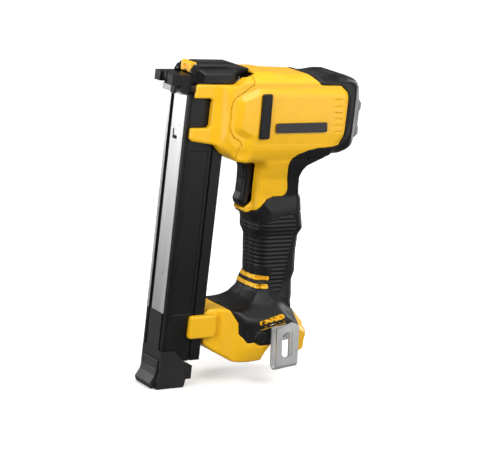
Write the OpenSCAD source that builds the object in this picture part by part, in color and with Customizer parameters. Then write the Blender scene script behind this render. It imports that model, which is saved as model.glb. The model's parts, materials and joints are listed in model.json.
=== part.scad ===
// Cordless cable stapler, bare tool, in millimetres.
// The origin is the centre of the nose's contact face, on the line of the driver.
// Staples leave along -X, the handle and the magazine hang along -Z, +Y is the tool's right side.

/* [Nose and magazine] */
// Width of the magazine body
mag_w = 35; // [34:0.5:35.5]
// Lowest point of the magazine's base block
mag_bottom = -309; // [-315:1:-305]
// Travel of the contact trip
trip_travel = 6; // [3:0.5:6.5]
// Radius of the cable notch in the contact trip
notch_r = 6.5; // [4:0.5:7]
// Crown width of the staples
crown_w = 16.5; // [14:0.5:17]

/* [Motor housing] */
// Half width of the motor housing
body_half_w = 37.5; // [36:0.5:39]
// Rear face of the end cap
body_rear = 231; // [226:1:236]
// Wall of the plastic shells
wall = 3; // [2.5:0.25:3.5]

/* [Handle and foot] */
// Depth of the grip, front to back
grip_depth = 57; // [55:1:60]
// Width of the grip
grip_w = 38; // [36:1:40]
// Thickness of the soft grip over the hard core
soft = 2.5; // [2:0.25:3]
// Half width of the battery foot
foot_half_w = 38; // [36:0.5:39]

/* [Driver] */
// Stroke of the driver
driver_stroke = 48; // [40:1:48]
// Radius of the flywheel
wheel_r = 22.5; // [21:0.5:22.5]

/* [Hidden] */
$fn = 48;
far = 400;

// Running clearance between a pin and its hole, and the gap between moving neighbours
fit = 0.05;
gap = 0.4;

// Driver line and nose
blade_t = 1.6;
blade_w = 14;
trip_top = 11.4;
trip_half_w = 16.2;
// The trip's tab and the frame's post hold its spring, which is open by two travels
post_x = 54;
tab_x = post_x - 2 * trip_travel - 5.5;
plate_t = 2;
nose_half_w = 12.5;
frame_top = 9.6;

// Magazine
mag_front = 20.5;
mag_rear = 67;
mag_top = -7;
mag_half = mag_w / 2;
// The rail's front plate reaches further to the left than to the right
rail_near = 13.2;
rail_far = 8.4;
staple_top = -1.2;
strip_len = 150;
pusher_top = staple_top - strip_len - 0.4;
core_half = 6;
base_top = -269.4;
door_top = -231;
base_rear = 53;
latch_z = -284;
latch_x = 24;

// Flywheel motor
wheel_x = 140;
wheel_z = -31;
axle_r = 4;
cheek_y = 18.5;
cheek_t = 4;
bearing_r = 9;
frame_half_w = 14;
carriage_x = 144;
carriage_len = 38;
ear_len = 10;
rod_y_pos = 11.5;
rod_r = 2;
pin_r = 2;
pinch_x = 178;
pinch_z = 5.5;
roller_z = 7.4;
solenoid_z = -14;

// Trigger
trigger_x = 107.5;
trigger_z = -67.5;
trigger_back = 108;
trigger_half = 9;

// Nose latch
nose_latch_x = 28.5;
nose_latch_z = 20.2;
latch_pin_r = 1.2;

// Belt hook
hook_x = 151;
hook_z = -243;
hook_screw_z = -252;
hook_in_y = -40.2;
hook_gap = 7.2;
hook_t = 1.8;
hook_half_w = 14;
hook_len = 40;
hook_tilt = 6;
hook_boss_x = 125.5;
hook_boss_z = -256;
screw_r = 1.5;

// Extrusions of a side view (x, z), a plan (x, y) and a front view (y, z)
module side(y0, y1) {
    translate([0, y1, 0]) rotate([90, 0, 0]) linear_extrude(y1 - y0) children();
}
module plan(z0, z1) {
    translate([0, 0, z0]) linear_extrude(z1 - z0) children();
}
module front(x0, x1) {
    translate([x0, 0, 0]) rotate([90, 0, 90]) linear_extrude(x1 - x0) children();
}
module block(x0, x1, y0, y1, z0, z1) {
    translate([x0, y0, z0]) cube([x1 - x0, y1 - y0, z1 - z0]);
}
module rod_x(x0, x1, y, z, r) {
    translate([x0, y, z]) rotate([0, 90, 0]) cylinder(r = r, h = x1 - x0);
}
module rod_y(x, y0, y1, z, r) {
    translate([x, y1, z]) rotate([90, 0, 0]) cylinder(r = r, h = y1 - y0);
}
module rod_z(x, y, z0, z1, r) {
    translate([x, y, z0]) cylinder(r = r, h = z1 - z0);
}
// Rounds the outer corners of an outline, then grows it
module soft_outline(r, grow) {
    offset(delta = grow) offset(r = r, $fn = 20) offset(delta = -r) children();
}
module both_sides() {
    children();
    mirror([0, 1, 0]) children();
}

// Wire bent into a coil along +Z, as one closed sweep
function coil_ring(r, wire, a, z, sides) =
    [for (s = [0:sides - 1]) let (b = 360 * s / sides)
        [(r + wire * cos(b)) * cos(a), (r + wire * cos(b)) * sin(a), z + wire * sin(b)]];
module coil(r, wire, length, turns) {
    sides = 6;
    steps = 10 * turns;
    rise = length - 2 * wire;
    rings = [for (i = [0:steps]) coil_ring(r, wire, 36 * i, wire + rise * i / steps, sides)];
    lower = [for (i = [0:steps - 1], s = [0:sides - 1]) let (t = (s + 1) % sides)
        [i * sides + s, i * sides + t, (i + 1) * sides + s]];
    upper = [for (i = [0:steps - 1], s = [0:sides - 1]) let (t = (s + 1) % sides)
        [i * sides + t, (i + 1) * sides + t, (i + 1) * sides + s]];
    caps = [[for (s = [0:sides - 1]) sides - 1 - s], [for (s = [0:sides - 1]) steps * sides + s]];
    polyhedron([for (ring = rings) each ring], concat(lower, upper, caps), convexity = 10);
}

// Outer forms of the shells; grow is negative for the inside of a wall
module motor_form(grow) {
    intersection() {
        side(-far, far) soft_outline(12, grow)
            polygon([[60, 3], [92, 16.6], [106, 17.4], [128, 14.5], [165, 13.2], [208, 10.4], [224, 3],
                [body_rear, -14], [body_rear, -48], [221, -61], [207, -68], [160, -70], [120, -71],
                [76, -73], [60, -60]]);
        plan(-far, far) soft_outline(9, grow)
            polygon(concat(body_plan(1), body_plan(-1)));
        front(0, far) soft_outline(9, grow)
            polygon([for (q = body_front) q, for (i = [len(body_front) - 1:-1:0]) [-body_front[i].x,
                body_front[i].y]]);
    }
}
body_front = [[20, 17.6], [33, 7], [body_half_w, -8], [body_half_w, -44], [31, -60], [22, -74]];
function body_plan(s) = let (h = body_half_w, p = [[60, 29], [66, 33], [80, h - 1], [100, h], [196, h],
    [214, h - 5], [226, 22], [body_rear, 8]])
    s > 0 ? p : [for (i = [len(p) - 1:-1:0]) [p[i].x, -p[i].y]];

// Arms that hold the nose and the magazine, and the web behind them
module arm_form() {
    intersection() {
        side(-far, far) difference() {
            soft_outline(3, 0)
                polygon([[24, -10.5], [26, 3.5], [86, 12], [86, -75], [75, -72.5], [66, -64], [58, -59.5],
                    [50, -56.5], [27, -53.5], [24, -51], [24, -42], [26, -40.2], [30, -40.2],
                        [30, -10.5]]);
            soft_outline(2, 0)
                polygon([[10, -40.2], [42, -40.2], [44.5, -36], [44.5, -10.5], [10, -10.5]]);
        }
        plan(-far, far)
            polygon([[24, 21], [26, 23], [44, 23.5], [54, 27.5], [66, 33], [86, 34.5], [86, -34.5],
                [66, -33], [54, -27.5], [44, -23.5], [26, -23], [24, -21]]);
    }
}

module neck_form(grow) {
    intersection() {
        side(-far, far) soft_outline(4, grow)
            polygon([[90, -60], [92, -74], [112, -76.5], [115.5, -86], [116, -118], [111, -121],
                [109, -127], [112, -131], [120, -133], [174, -133], [170.8, -118], [167.8, -102], [166.8, -92],
                [168, -86], [172.2, -80.6], [183, -75], [191, -71.2], [191, -60]]);
        front(0, far) soft_outline(4, grow)
            polygon([[19, -133], [19.5, -112], [23, -92], [31, -70], [31, -60], [-31, -60], [-31, -70],
                [-23, -92], [-19.5, -112], [-19, -133]]);
    }
}

function grip_oval(a, b) = [for (t = [0:11.25:359]) let (c = cos(t), s = sin(t))
    [a * sign(c) * pow(abs(c), 0.82), b * sign(s) * pow(abs(s), 0.82)]];
module handle_form(grow) {
    translate([150.7, 0, -160]) rotate([0, -3.4, 0]) translate([0, 0, -75])
        linear_extrude(117) polygon(grip_oval(grip_depth / 2 + grow, grip_w / 2 + grow));
}

// Slope that cuts the foot's upper rear corners on both sides of the handle
slope_turn = 36.3;
slope_lean = 45.5;
slope_at = -63.9;
module foot_slope(grow) {
    for (s = [-1, 1])
        rotate([0, -slope_lean, s * slope_turn]) translate([slope_at + grow, -200, -200]) cube(400);
}
module foot_form(grow) {
    difference() {
        foot_block(grow);
        foot_slope(grow);
    }
}
module foot_block(grow) {
    intersection() {
        side(-far, far) soft_outline(5, grow)
            polygon([[72, -229], [88, -228], [104, -226.6], [114, -224.4], [121, -219.6], [126, -211], [128, -200],
                [178, -200], [180, -228], [194, -243], [200, -254], [197, -266], [190, -275], [150, -281],
                [112, -284], [98, -281.5], [84, -273.5], [72, -266.5]]);
        plan(-far, far) soft_outline(8, grow) polygon(concat(foot_plan(1), foot_plan(-1)));
        front(0, far) soft_outline(5, grow) polygon(concat(foot_front(1), foot_front(-1)));
    }
}
function foot_plan(s) = let (h = foot_half_w, p = [[64, 17], [80, 22], [92, 30], [106, h - 2], [120, h],
    [170, h], [190, h - 9], [200, 16]])
    s > 0 ? p : [for (i = [len(p) - 1:-1:0]) [p[i].x, -p[i].y]];
function foot_front(s) = let (h = foot_half_w, p = [[17, -195], [20, -218], [28, -227], [h, -241],
    [h, -262], [31, -286]])
    s > 0 ? p : [for (i = [len(p) - 1:-1:0]) [-p[i].x, p[i].y]];

module outer_form() {
    motor_form(0);
    arm_form();
    neck_form(0);
    handle_form(0);
    foot_form(0);
}
module core_form() {
    motor_form(-soft);
    neck_form(-soft);
    handle_form(-soft);
    foot_form(-soft);
}

// Side view of what the soft black grip covers
module grip_zone() {
    side(-far, far)
        polygon([[204, -64], [151, -64], [145.3, -71.2], [143.4, -77], [145, -84], [149.8, -99], [151.2, -107],
            [149, -113], [135, -113.2],
            [128, -115.2], [117, -127.6], [112, -130.3], [90, -130.5], [90, -150], [75, -150], [75, -200],
            [88, -222], [91, -229.6], [98.5, -236], [102, -243], [102, -252], [112, -261.5], [121, -261],
            [126, -265], [142, -265], [158, -262], [176, -250], [188, -243], [204, -243]]);
}
// Side view of what the black end cap covers: everything behind and around the side panels
module cap_zone() {
    side(-far, far) difference() {
        polygon([[164, 40], [164, 9], [150, 9], [150, -60], [146, -72], [240, -84], [240, 40]]);
        soft_outline(5, 0)
            polygon([[140, 9], [196, 9], [203, 3], [203, -50], [198, -58], [171, -60], [160.5, -62.4],
                [150, -67], [140, -67]]);
    }
}
// Side view of what the nose cover takes up
module cover_zone(grow) {
    side(-far, far) offset(delta = grow)
        polygon([[18, 3.5], [68, 3.5], [78, 10.5], [92, 14], [92, 40], [18, 40]]);
}

bay_top = -252;
// Arch in the lower edge of the foot's sides
arch_x = 156;
arch_z = -283;
arch_r = 22;
// Battery bay: open below and to the rear, where the pack slides in
module battery_bay() {
    block(110, 205, -29, 29, -300, -264);
    block(116, 205, -23, 23, -300, bay_top);
}

module inner_space() {
    difference() {
        motor_form(-wall);
        block(0, 78, -60, 60, -100, 40);
    }
    difference() {
        neck_form(-soft - wall);
        block(80, 112, -60, 60, -140, -60);
    }
    intersection() {
        handle_form(-soft - wall);
        block(0, far, -60, 60, -224, -90);
    }
    difference() {
        foot_form(-soft - wall);
        block(60, 108, -60, 60, -300, -200);
        block(60, 230, -60, 60, -300, bay_top + 3.5);
    }
    // Room for the driver's line behind the nose
    block(60, 90, -20, 20, -14, 15);
    block(71.6, 90, -cheek_y - cheek_t - gap, cheek_y + cheek_t + gap, -22, 6.4);
}

module trigger_slot() {
    block(80, 116.4, -trigger_half - gap, trigger_half + gap, -126.8, -74.4);
    block(112, 126, -trigger_half - gap, trigger_half + gap, -125.8, -78);
    block(100.5, 120, -trigger_half - gap, trigger_half + gap, -90, -61);
}

module vent_slots() {
    for (i = [0:5])
        side(-60, 60) translate([189.2 - 0.3 * i, -12.5 - 6 * i]) square([11, 2.8], center = true);
}

module housing() {
    difference() {
        union() {
            outer_form();
            // Cheeks that grip the sides of the magazine above the foot
            side(-23.5, 23.5) soft_outline(3, 0)
                polygon([[48, -233], [80, -233], [80, -256], [48, -256]]);
        }
        difference() {
            grip_zone();
            core_form();
        }
        cap_zone();
        cover_zone(0);
        inner_space();
        trigger_slot();
        vent_slots();
        battery_bay();
        rod_y(arch_x, -60, 60, arch_z, arch_r);
        // Magazine and nose frame between the arms
        block(10, mag_rear + 0.3, -mag_half - 0.2, mag_half + 0.2, -far, 40);
        rod_y(trigger_x, -14, 14, trigger_z, 2);
        screw_bores();
        insert_bores();
    }
    difference() {
        union() {
            screw_bosses();
            both_sides() rod_y(trigger_x, trigger_half + gap, 15.5, trigger_z, 4.5);
        }
        screw_bores();
        rod_y(trigger_x, -14, 14, trigger_z, 2);
    }
}
// Places of the screws that close the two halves, as x, z and half the width of the boss
screw_points = [[96, -62, 27], [184, -50, 33.5], [148, -128, 14], [142, -202, 14], [100, -240, 28],
    [168, -245.2, 16]];
module screw_bosses() {
    for (p = screw_points)
        rod_y(p[0], -p[2], p[2], p[1], 4.2);
}
module screw_bores() {
    for (p = screw_points) {
        rod_y(p[0], -p[2] + 3, p[2], p[1], screw_r + fit);
        rod_y(p[0], p[2] - 3, 60, p[1], 3.2);
    }
}
module insert_bores() {
    both_sides() rod_y(hook_x, 27, 60, hook_screw_z, 3.6);
}

module housing_left() {
    color("gold") intersection() {
        housing();
        block(0, far, -60, 0, -far, 60);
    }
}
module housing_right() {
    color("gold") intersection() {
        housing();
        block(0, far, 0, 60, -far, 60);
    }
}

module grip() {
    difference() {
        intersection() {
            grip_zone();
            union() {
                neck_form(0);
                handle_form(0);
                foot_form(0);
                rod_y(hook_boss_x, -39.6, 39.6, hook_boss_z, 6.5);
            }
        }
        core_form();
        motor_form(0);
        trigger_slot();
        battery_bay();
        rod_y(arch_x, -60, 60, arch_z, arch_r);
        screw_bosses();
        screw_bores();
        insert_bores();
    }
}
module grip_left() {
    color("dimgray") intersection() {
        grip();
        block(0, far, -60, 0, -far, 60);
    }
}
module grip_right() {
    color("dimgray") intersection() {
        grip();
        block(0, far, 0, 60, -far, 60);
    }
}

module rear_cap() {
    color("dimgray") difference() {
        intersection() {
            motor_form(0);
            cap_zone();
        }
        motor_form(-wall);
        neck_form(0);
        for (s = [-1, 1])
            block(218, 240, s * lamp_y - 3, s * lamp_y + 3, lamp_low, lamp_high);
    }
}
lamp_y = 20;
lamp_low = -52;
lamp_high = -12;
// Two upright bars on the end cap, each with a pale lens at both ends
module rear_lamps() {
    color("silver") both_sides()
        side(lamp_y - 2.8, lamp_y + 2.8)
            polygon([[220, lamp_low + 0.2], [226.5, lamp_low + 0.2], [230, lamp_low + 4],
                [230, lamp_low + 10],
                [228.4, lamp_low + 13], [228.4, lamp_high - 13], [230, lamp_high - 10],
                    [230, lamp_high - 4],
                [226.5, lamp_high - 0.2], [220, lamp_high - 0.2]]);
}

module cover_form() {
    intersection() {
        side(-far, far)
            polygon([[22, 3.5], [22, 14], [26.5, 22.5], [28, 23], [70, 22.2], [92, 17.5], [92, 14],
                [78, 10.5],
                [68, 3.5]]);
        front(0, far)
            polygon([[22.5, 3.5], [22.5, 8], [18, 15], [13, 16.5], [10.5, 23.5], [-10.5, 23.5],
                [-13, 16.5],
                [-18, 15], [-22.5, 8], [-22.5, 3.5]]);
    }
}
module top_cover() {
    color("dimgray") difference() {
        cover_form();
        // Hollow over the nose frame
        block(30, 84, -8, 8, 0, 19);
        block(30, 76, -14.6, 14.6, 0, trip_top + 0.8);
        block(15, 32.4, -9.6, 9.6, 0, 30);
        block(10, tab_x + trip_travel, -trip_half_w - gap, trip_half_w + gap, 0, trip_top + 0.8);
        rod_y(nose_latch_x, -14, 14, nose_latch_z, latch_pin_r);
        for (s = [-1, 1])
            rod_z(64, s * 17.5, 0, 10, screw_r);
    }
}
module cover_screws() {
    color("silver") for (s = [-1, 1])
        rod_z(64, s * 17.5, 3.6, 10, screw_r);
}

module nose_latch() {
    color("gold") difference() {
        side(-9, 9) soft_outline(0.8, 0)
            polygon([[24.6, 12.4], [24.6, 20.8], [26.6, 22.9], [29.6, 22.7], [31.2, 21], [31.2, 19],
                [29, 16.5], [28.2, 12.4]]);
        rod_y(nose_latch_x, -14, 14, nose_latch_z, latch_pin_r + fit);
        // Finger pocket, and the notch between the two hooks
        block(20, 25.8, -4, 4, 16.8, 19.8);
        block(20, 40, -2.5, 3.5, 10, 14.6);
    }
}
module latch_hinge_pin() {
    color("silver") rod_y(nose_latch_x, -11, 11, nose_latch_z, latch_pin_r);
}

module driver_channel() {
    block(-10, 110, -8.9, 8.9, -1.2, 1.3);
}
module nose_plate() {
    color("silver") difference() {
        union() {
            block(14, 24, -nose_half_w, nose_half_w, -8.8, -1.2);
            block(8, 14, -8.6, nose_half_w, -7, -1.2);
        }
        block(mag_front + 1.4, 60, -8.9, 8.9, -20, 5);
        block(mag_front - 0.3, 60, -20, 20, -20, -6.7);
    }
}
module nose_frame() {
    color("gray") difference() {
        union() {
            block(16.4, 24.3, -nose_half_w, nose_half_w, -1.2, frame_top);
            block(24.3, 80, -frame_half_w, frame_half_w, -6.7, frame_top);
            block(72, 80, -cheek_y - cheek_t, cheek_y + cheek_t, -10, 6);
            both_sides() side(cheek_y, cheek_y + cheek_t)
                polygon([[72, -10], [118, -50], [162, -50], [176, -27], [197, -27], [197, 7.6], [168, 8],
                    [160, 6], [72, 6]]);
            block(post_x, post_x + 3, -4, 4, frame_top - 1, 18.3);
        }
        driver_channel();
        // Well where the staples rise into the channel
        block(22.2, 52.6, -8.9, 8.9, -20, 1.3);
        block(20, mag_front + 1.6, -20, 20, -20, -1.2);
        for (s = [-1, 1])
            rod_x(70, 200, s * rod_y_pos, 0, rod_r);
        rod_y(wheel_x, -60, 60, wheel_z, bearing_r);
        rod_y(pinch_x, -60, 60, pinch_z, pin_r);
    }
}

module contact_trip() {
    color("dimgray") difference() {
        union() {
            block(0, 9.6, -trip_half_w, trip_half_w, 1.5, trip_top);
            block(3, tab_x - 2.1, -trip_half_w, trip_half_w, trip_top - 1.4, trip_top);
            both_sides() side(trip_half_w - plate_t, trip_half_w)
                polygon([[3, 0.6], [12, 0.6], [12, -6.6], [23, -6.6], [23, 0.6], [29, 2],
                    [29, trip_top], [3, trip_top]]);
            block(3, 6, -trip_half_w, -9.6, -6.6, 3);
            block(tab_x - 2.5, tab_x, -4, 4, trip_top - 1.4, trip_top + 7);
        }
        // Cable notch, and room above the nose
        translate([0, 0, -20]) cylinder(r = notch_r, h = 60);
        block(9.6, 28, -trip_half_w + plate_t, trip_half_w - plate_t, -20, trip_top - 1.4);
    }
}
module trip_spring() {
    color("silver") translate([tab_x + 0.2, 0, 15]) rotate([0, 90, 0])
        coil(2.4, 0.35, post_x - tab_x - 0.4, 8);
}

module magazine_body() {
    color("dimgray") difference() {
        block(mag_front, mag_rear, -mag_half, mag_half, -281, mag_top);
        // Channel for the staples, with the rail's slot along the front
        block(mag_front + 1.9, 54, -10, 10, -far, 0);
        block(10, mag_front + 2.2, -13.4, 13.4, -far, 0);
        // Hollow behind the channel
        block(57, mag_rear - 2.5, -14, 14, -276, -60);
        // Grooves along the sides
        both_sides() {
            block(27.5, 50, mag_half - 0.4, mag_half + 1, -232, -64);
            block(53.5, 55.5, mag_half - 1.6, mag_half + 1, -281, -20);
            block(23.6, 24.4, mag_half - 0.5, mag_half + 1, -281, -7);
        }
        // Space for the base block
        side(-60, 60) polygon([[10, base_top + 0.4], [36, base_top + 0.4], [53.6, base_top - 16],
            [53.6, -300],
            [10, -300]]);
    }
}
module magazine_rail() {
    color("silver") difference() {
        union() {
            block(mag_front, mag_front + 1.4, -rail_near, rail_far, door_top + 0.3, -9.2);
            block(mag_front + 1.4, 46, -core_half, core_half, base_top, -9.2);
        }
        block(mag_front + 3, 44.4, -core_half + 1.6, core_half - 1.6, base_top + 10, 0);
        for (z = [-191, -187.5])
            rod_x(0, mag_front + 4, -4.6, z, 0.8);
        rod_x(0, mag_front + 4, -5, -41, 0.8);
        // Key-shaped opening in the plate
        block(mag_front - 1, mag_front + 4, 2.4, 4.4, -52, -45);
        block(mag_front - 1, mag_front + 4, -3.4, 4.4, -55, -51.4);
    }
}
module magazine_base() {
    color("dimgray") difference() {
        union() {
            side(-mag_half, mag_half)
                polygon([[mag_front, base_top], [35.8, base_top], [base_rear, base_top - 16],
                    [base_rear, -302],
                    [52, -308], [50.5, mag_bottom], [19, mag_bottom], [18.4, -301], [mag_front, -294]]);
            block(base_rear - 1, 62, -14, 14, -302, -288);
            // Door panel over the lower end of the rail
            block(mag_front, mag_front + 1.4, -11, 11, base_top - 1, door_top);
        }
        // Recess for the latch lever
        block(10, 31, -14.4, 14.4, -320, -278.6);
        rod_y(latch_x, -16, 16, latch_z, 1.5);
    }
}
module magazine_latch() {
    color("dimgray") difference() {
        side(-14, 14) soft_outline(1, 0)
            polygon([[19.4, -279.2], [19, -288], [17.5, -295], [12.4, -303], [14.4, -308.4],
                [19.4, -308.4], [22.4, -296],
                [27.6, -288], [27.6, -280.5], [25, -279.2]]);
        rod_y(latch_x, -16, 16, latch_z, 1.5 + fit);
        // Finger grooves
        for (i = [0:2])
            translate([18.9 - 0.5 * i, 0, -285.5 - 3 * i]) rotate([0, 14, 0]) cube([1.6, 20, 1.2],
                center = true);
    }
}
module magazine_latch_pin() {
    color("silver") rod_y(latch_x, -16, 16, latch_z, 1.5);
}
module magazine_latch_spring() {
    color("silver") translate([22.8, 0, -299]) rotate([0, 90, 0]) coil(3, 0.4, 8.2, 5);
}

module staple_profile() {
    difference() {
        translate([23.4, -crown_w / 2]) square([25.6, crown_w]);
        translate([20, -crown_w / 2 + 1.2]) square([27.8, crown_w - 2.4]);
    }
}
module staple_strip() {
    color("silver") plan(staple_top - strip_len, staple_top) staple_profile();
}
module pusher() {
    color("black") difference() {
        block(23.6, 50.6, -8.6, 8.6, pusher_top - 26, pusher_top);
        block(20, 46.6, -core_half - 0.3, core_half + 0.3, -far, 0);
        rod_y(50.8, -5.4, 5.4, pusher_top - 14, 3);
    }
}
// Rolled strip spring that lifts the pusher, seated in its rear face
module pusher_spring() {
    color("silver") difference() {
        rod_y(50.8, -5, 5, pusher_top - 14, 2.7);
        rod_y(50.8, -6, 6, pusher_top - 14, 1.2);
    }
}

module driver_blade() {
    color("silver") block(54, carriage_x + 6, -blade_w / 2, blade_w / 2, -blade_t / 2, blade_t / 2);
}
module driver_carriage() {
    x0 = carriage_x;
    x1 = carriage_x + carriage_len;
    color("darkgray") difference() {
        union() {
            side(-8, 8)
                polygon([[x0, -6], [x0 + 3, -8], [x1 - 3, -8], [x1, -6], [x1, 3], [x0, 3]]);
            block(x1 - ear_len, x1, -15, 15, -3.6, 3);
        }
        block(x0 - 1, x0 + 6, -blade_w / 2, blade_w / 2, -blade_t / 2, blade_t / 2);
        for (s = [-1, 1])
            rod_x(90, 200, s * rod_y_pos, 0, rod_r + fit);
    }
}
module guide_rods() {
    color("silver") for (s = [-1, 1])
        rod_x(72, 186, s * rod_y_pos, 0, rod_r);
}
module return_springs() {
    color("silver") for (s = [-1, 1])
        translate([80.2, s * rod_y_pos, 0]) rotate([0, 90, 0])
            coil(2.8, 0.35, carriage_x + carriage_len - ear_len - 80.4, 14);
}
// Rubber stops: two at the front of the stroke, one behind the carriage
module driver_bumpers() {
    color("black") {
        for (s = [-1, 1])
            block(80, carriage_x - driver_stroke - 0.6, s > 0 ? 1 : -7.5, s > 0 ? 7.5 : -1, 1.5, 6);
        block(carriage_x + carriage_len + 0.6, 186, -cheek_y, cheek_y, -8, -2.4);
    }
}

module flywheel() {
    color("dimgray") difference() {
        union() {
            rod_y(wheel_x, -9, 9, wheel_z, wheel_r);
            rod_y(wheel_x, -11, 11, wheel_z, 7);
        }
        // Ring groove that grips the carriage, and the cup over the windings
        difference() {
            rod_y(wheel_x, -2, 2, wheel_z, wheel_r + 5);
            rod_y(wheel_x, -2, 2, wheel_z, wheel_r - 1);
        }
        difference() {
            rod_y(wheel_x, -10, 6, wheel_z, wheel_r - 4);
            rod_y(wheel_x, -12, 12, wheel_z, 7);
        }
        rod_y(wheel_x, -20, 20, wheel_z, axle_r);
    }
}
module motor_axle() {
    color("silver") rod_y(wheel_x, -25, 25, wheel_z, axle_r);
}
// Wound core inside the flywheel's cup, carried by a bracket from the left cheek
module motor_stator() {
    color("peru") difference() {
        union() {
            rod_y(wheel_x, -11.5, 5.5, wheel_z, 11.5);
            for (i = [0:8])
                translate([wheel_x, 5.5, wheel_z]) rotate([90, 20 + 40 * i, 0])
                    translate([14, 0, 8.5]) cube([7.4, 5, 17], center = true);
            difference() {
                rod_y(wheel_x, -18.5, -10.6, wheel_z, 17);
                rod_y(wheel_x, -18, -9, wheel_z, 15);
            }
            rod_y(wheel_x, -12.5, -10.6, wheel_z, 16);
        }
        rod_y(wheel_x, -40, 40, wheel_z, 7.5);
    }
}
module motor_bearings() {
    color("silver") both_sides() difference() {
        rod_y(wheel_x, cheek_y, cheek_y + cheek_t, wheel_z, bearing_r);
        rod_y(wheel_x, 0, 60, wheel_z, axle_r + fit);
    }
}

// Arm that presses the carriage onto the flywheel when the solenoid pulls
module pinch_arm() {
    color("gray") difference() {
        union() {
            both_sides() side(9, 11.4)
                polygon([[135, 4.4], [135, 10], [144, 10], [149, 8.2], [183, 8.2], [192, 4], [192, -17],
                    [188.6, -17], [188.6, 1], [182, 3.6], [160, 3.6]]);
            block(188.6, 192, -11.4, 11.4, -18, -10);
        }
        rod_y(pinch_x, -20, 20, pinch_z, pin_r + fit);
        rod_y(wheel_x, -20, 20, roller_z, 1.5);
        rod_x(180, 200, 0, solenoid_z, 1.4);
    }
}
module pinch_pin() {
    color("silver") rod_y(pinch_x, -cheek_y - cheek_t, cheek_y + cheek_t, pinch_z, pin_r);
}
module pinch_roller() {
    color("silver") {
        rod_y(wheel_x, -7.5, 7.5, roller_z, 3.2);
        rod_y(wheel_x, -11.4, 11.4, roller_z, 1.5);
    }
}
module solenoid() {
    color("darkslategray") difference() {
        union() {
            rod_x(199.4, 222, 0, solenoid_z, 9);
            block(197, 199.5, -cheek_y - cheek_t, cheek_y + cheek_t, -26, 4);
        }
        rod_x(180, 216, 0, solenoid_z, 3 + fit);
    }
}
module solenoid_plunger() {
    color("silver") union() {
        rod_x(196, 213, 0, solenoid_z, 3);
        rod_x(192.4, 196.4, 0, solenoid_z, 4.2);
    }
}

module trigger() {
    color("dimgray") difference() {
        side(-trigger_half, trigger_half) soft_outline(2, 0)
            polygon([[102.5, -63.4], [102.5, -74], [97.6, -75.4], [101, -80], [103.4, -86], [104.2, -97],
                [104, -112], [101.5, -119], [104, -124], [109, -126], [113, -124], [114.4, -112],
                [114.4, -84], [112.5, -74], [112.5, -63.4]]);
        side(-trigger_half + 2, trigger_half - 2)
            polygon([[trigger_back, -86], [trigger_back, -120], [120, -118], [120, -86]]);
        rod_y(trigger_x, -14, 14, trigger_z, 2 + fit);
    }
}
module trigger_pin() {
    color("silver") rod_y(trigger_x, -13.9, 13.9, trigger_z, 2);
}
module trigger_spring() {
    color("silver") translate([trigger_back + 0.2, 0, -109]) rotate([0, 90, 0]) coil(3, 0.4, 9.6, 4);
}
module trigger_switch() {
    color("black") {
        block(118, 138, -5.5, 5.5, -114, -94);
        rod_x(112, 118.5, 0, -100, 2.4);
    }
}

module control_board() {
    color("green") block(124, 162, -22, 22, -247.2, -245.6);
    color("black") block(130, 150, -14, 14, -245.6, -239);
}
// Leads from the board up the handle to the motor, switch and solenoid
module wire_loom() {
    color("red") for (s = [-1, 0, 1]) {
        rod_z(158, 6 + s * 3.2, -245.6, -70, 1.4);
    }
}
module terminal_block() {
    color("black") difference() {
        block(118, 150, -17, 17, -262, bay_top - 0.1);
        for (s = [-1.5:1:1.5])
            block(124, 160, s * 8 - 1.6, s * 8 + 1.6, -270, -254);
    }
}
module battery_contacts() {
    color("orange") for (s = [-1.5:1:1.5])
        block(124, 142, s * 8 - 0.4, s * 8 + 0.4, -261, -254);
}

// Outline of the hook's outer leg, seen from the side, with its bend below
module hook_outline() {
    hull() {
        translate([-hook_half_w + 2, -2]) circle(2, $fn = 32);
        translate([5, 2]) circle(2, $fn = 32);
        translate([hook_half_w - 3, -3]) circle(3, $fn = 32);
        translate([-hook_half_w, -hook_len]) square([2 * hook_half_w - 1, 1]);
    }
}
// Bent steel strap: inner leg on the foot, closed below, outer leg with a window
module belt_hook() {
    mid_y = hook_in_y - hook_gap / 2;
    out_y = hook_in_y - hook_gap;
    color("silver") translate([hook_x, 0, hook_z]) rotate([0, -hook_tilt, 0]) {
        difference() {
            side(out_y - hook_t, out_y) hook_outline();
            side(-60, -30) polygon([[-7, -9], [-3, -5.5], [6, -5.5], [6, -30], [3, -34], [-1, -34],
                [-7, -29]]);
        }
        // Bend
        difference() {
            rod_x(-hook_half_w, hook_half_w - 1, mid_y, -hook_len, hook_gap / 2 + hook_t);
            rod_x(-hook_half_w - 1, hook_half_w + 1, mid_y, -hook_len, hook_gap / 2);
            block(-30, 30, -60, -30, -hook_len, -hook_len + 20);
        }
        // Inner leg, bolted to the foot
        difference() {
            block(-hook_half_w, hook_half_w - 1, hook_in_y, hook_in_y + hook_t, -hook_len, -1);
            rotate([0, hook_tilt, 0]) rod_y(0, -60, -30, hook_screw_z - hook_z, 2 + fit);
            side(-60, -30) polygon([[-5, -17], [8, -17], [8, -36], [4, -37.5], [-2, -33], [-5, -33]]);
        }
    }
}
module hook_screw() {
    color("silver") {
        rod_y(hook_x, hook_in_y - 2.2, hook_in_y, hook_screw_z, 3.8);
        rod_y(hook_x, hook_in_y - 0.5, -30, hook_screw_z, 2);
    }
}
module hook_inserts() {
    color("gold") both_sides() difference() {
        rod_y(hook_x, 28, foot_half_w - 0.4, hook_screw_z, 3.6);
        rod_y(hook_x, 20, 60, hook_screw_z, 2);
    }
}
module housing_screws() {
    color("silver") for (p = screw_points) {
        rod_y(p[0], -p[2] + 8, p[2] - 3, p[1], screw_r);
        rod_y(p[0], p[2] - 3, p[2] - 0.6, p[1], 3);
    }
}
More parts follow.
